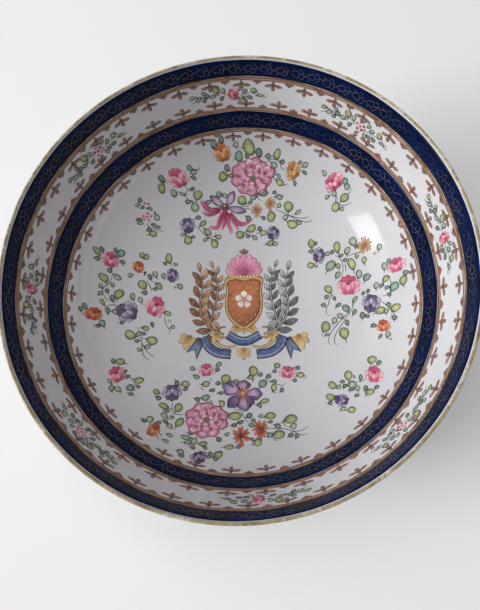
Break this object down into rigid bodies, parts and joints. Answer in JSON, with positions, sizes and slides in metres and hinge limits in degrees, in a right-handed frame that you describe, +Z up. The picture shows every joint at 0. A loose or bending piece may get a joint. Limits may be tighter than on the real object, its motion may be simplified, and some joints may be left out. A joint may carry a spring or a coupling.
{
  "type": "footed serving bowl",
  "caption": "Deep round porcelain serving bowl on a foot ring, with cobalt-blue enamel bands, gilt lines and painted flower sprays.",
  "frame": {"origin": "centre of the foot ring, on the surface the bowl stands on", "axes": "+Z up along the bowl's axis of revolution, +Y towards the top of the painted centre, +X towards its right"},
  "size_m": [0.288, 0.288, 0.115],
  "materials": {
    "glazed_porcelain": "glossy clear glaze over white porcelain with a faint blue-grey cast",
    "foot_porcelain": "glazed outside and inside, bare clay on the standing face",
    "cobalt_enamel": "glossy dark cobalt enamel",
    "russet_enamel": "thin iron-red enamel drawn with a brush",
    "painted_enamels": "thin translucent flower enamels in rose, purple, green and orange, with dark drawn lines",
    "gilding": "thin worn fired gilding with a brown undertone"
  },
  "bodies": {
    "root": {"bowl_body": "glazed_porcelain", "foot_ring": "foot_porcelain", "lip_gilding": "gilding", "foot_gilt_line": "gilding", "outer_blue_band": "cobalt_enamel", "inner_blue_band": "cobalt_enamel", "upper_band_gilt_line": "gilding", "upper_band_russet_line": "russet_enamel", "lower_band_upper_russet_line": "russet_enamel", "lower_band_lower_russet_line": "russet_enamel", "lower_band_upper_gilt_line": "gilding", "lower_band_lower_gilt_line": "gilding", "exterior_blue_band": "cobalt_enamel", "exterior_upper_gilt_line": "gilding", "exterior_lower_gilt_line": "gilding"}
  },
  "joints": []
}
